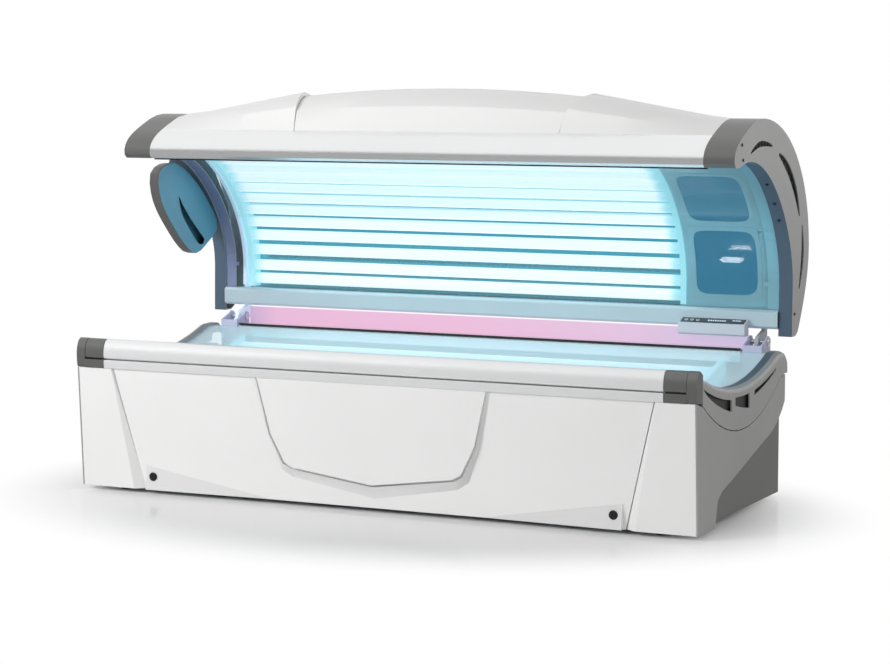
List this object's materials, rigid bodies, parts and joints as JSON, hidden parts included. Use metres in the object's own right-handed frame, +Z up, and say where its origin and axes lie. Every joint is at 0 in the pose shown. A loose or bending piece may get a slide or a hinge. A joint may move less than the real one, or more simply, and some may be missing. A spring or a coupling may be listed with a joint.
{
  "type": "clamshell tanning bed",
  "caption": "Lie-down clamshell tanning bed: curved acrylic couch on a panelled base, with a lamp-lined canopy hinged along the rear edge and held up by gas struts.",
  "frame": {"origin": "on the floor, under the middle of the open bed's box", "axes": "+X along the bed towards the head end, +Y from the front panel towards the hinge, +Z up"},
  "size_m": [2.18, 1.055, 1.3298],
  "materials": {
    "frame_steel": "powder coat",
    "black_rubber": "matt",
    "white_plastic": "satin white",
    "rail_aluminium": "satin",
    "grey_plastic": "fine grain",
    "silver_plastic": "silver satin",
    "light_strip": "lit diffuser",
    "clear_acrylic": "clear",
    "reflector": "mirror",
    "lamp": "phosphor",
    "black_plastic": "matt",
    "chrome": "polished",
    "filter_glass": "blue filter",
    "display": "gloss"
  },
  "bodies": {
    "base": {"base_frame": "frame_steel", "foot_front_left": "black_rubber", "foot_front_right": "black_rubber", "foot_rear_left": "black_rubber", "foot_rear_right": "black_rubber", "front_panel": "white_plastic", "front_post_left": "white_plastic", "front_post_right": "white_plastic", "front_rail": "rail_aluminium", "bullnose_profile": "rail_aluminium", "bullnose_end_left": "grey_plastic", "bullnose_end_right": "grey_plastic", "corner_cap_left": "grey_plastic", "corner_cap_right": "grey_plastic", "side_panel_left": "silver_plastic", "side_panel_right": "silver_plastic", "side_trim_left": "silver_plastic", "side_trim_right": "silver_plastic", "rear_panel": "white_plastic", "rear_rail": "rail_aluminium", "neck_light": "light_strip", "base_acrylic": "clear_acrylic", "base_reflector": "reflector", "base_lamps": "lamp", "ballast_tray": "frame_steel", "base_fan_housing": "black_plastic", "cable_gland": "black_plastic", "hinge_bracket_left": "silver_plastic", "hinge_bracket_right": "silver_plastic", "hinge_pin_left": "chrome", "hinge_pin_right": "chrome"},
    "canopy": {"canopy_frame": "frame_steel", "canopy_cover_centre": "white_plastic", "canopy_cover_left": "white_plastic", "canopy_cover_right": "white_plastic", "canopy_rail": "rail_aluminium", "cheek_left": "silver_plastic", "cheek_right": "silver_plastic", "canopy_lower_rail": "rail_aluminium", "canopy_acrylic": "clear_acrylic", "canopy_reflector": "reflector", "canopy_lamps": "lamp", "facial_panel": "reflector", "facial_glass_lower": "filter_glass", "facial_glass_upper": "filter_glass", "facial_lamp_lower": "chrome", "facial_lamp_upper": "chrome", "control_housing": "silver_plastic", "control_display": "display", "air_nozzle": "grey_plastic"},
    "fan": {"base_fan_rotor": "grey_plastic"},
    "lock_left": {"panel_lock_left": "black_plastic"},
    "strut_cylinder_left": {"strut_cylinder_left": "black_plastic"},
    "strut_rod_left": {"strut_rod_left": "chrome"},
    "lock_right": {"panel_lock_right": "black_plastic"},
    "strut_cylinder_right": {"strut_cylinder_right": "black_plastic"},
    "strut_rod_right": {"strut_rod_right": "chrome"},
    "button_1": {"button_1": "white_plastic"},
    "button_2": {"button_2": "white_plastic"},
    "button_3": {"button_3": "white_plastic"}
  },
  "joints": [
    {"name": "canopy_hinge", "type": "hinge", "parent": "base", "child": "canopy", "pos_m": [0, 0.3475, 0.508], "axis": [1, 0, 0], "range_deg": [0, 35]},
    {"name": "fan_spin", "type": "hinge", "parent": "base", "child": "fan", "pos_m": [0.85, -0.0695, 0.1], "axis": [0, 0, 1], "continuous": true},
    {"name": "strut_swing_left", "type": "hinge", "parent": "base", "child": "strut_cylinder_left", "pos_m": [-0.993, 0.3405, 0.148], "axis": [1, 0, 0], "range_deg": [-6, 0]},
    {"name": "strut_slide_left", "type": "slide", "parent": "strut_cylinder_left", "child": "strut_rod_left", "axis": [0, -0.1188, 0.9929], "range_m": [-0.026, 0]},
    {"name": "lock_turn_left", "type": "hinge", "parent": "base", "child": "lock_left", "pos_m": [-0.815, -0.4995, 0.058], "axis": [0, 1, 0], "range_deg": [0, 90]},
    {"name": "strut_swing_right", "type": "hinge", "parent": "base", "child": "strut_cylinder_right", "pos_m": [0.993, 0.3405, 0.148], "axis": [1, 0, 0], "range_deg": [-6, 0]},
    {"name": "strut_slide_right", "type": "slide", "parent": "strut_cylinder_right", "child": "strut_rod_right", "axis": [0, -0.1188, 0.9929], "range_m": [-0.026, 0]},
    {"name": "lock_turn_right", "type": "hinge", "parent": "base", "child": "lock_right", "pos_m": [0.815, -0.4995, 0.058], "axis": [0, 1, 0], "range_deg": [0, 90]},
    {"name": "button_1_press", "type": "slide", "parent": "canopy", "child": "button_1", "axis": [0, 0.3821, -0.9241], "range_m": [0, 0.0015], "stiffness_N_per_m": 900},
    {"name": "button_2_press", "type": "slide", "parent": "canopy", "child": "button_2", "axis": [0, 0.3821, -0.9241], "range_m": [0, 0.0015], "stiffness_N_per_m": 900},
    {"name": "button_3_press", "type": "slide", "parent": "canopy", "child": "button_3", "axis": [0, 0.3821, -0.9241], "range_m": [0, 0.0015], "stiffness_N_per_m": 900}
  ],
  "couplings": [
    {"joint": "strut_swing_left", "follows": "canopy_hinge", "ratio": -0.1275},
    {"joint": "strut_slide_left", "follows": "canopy_hinge", "m_per_rad": -0.03925},
    {"joint": "strut_swing_right", "follows": "canopy_hinge", "ratio": -0.1275},
    {"joint": "strut_slide_right", "follows": "canopy_hinge", "m_per_rad": -0.03925}
  ]
}
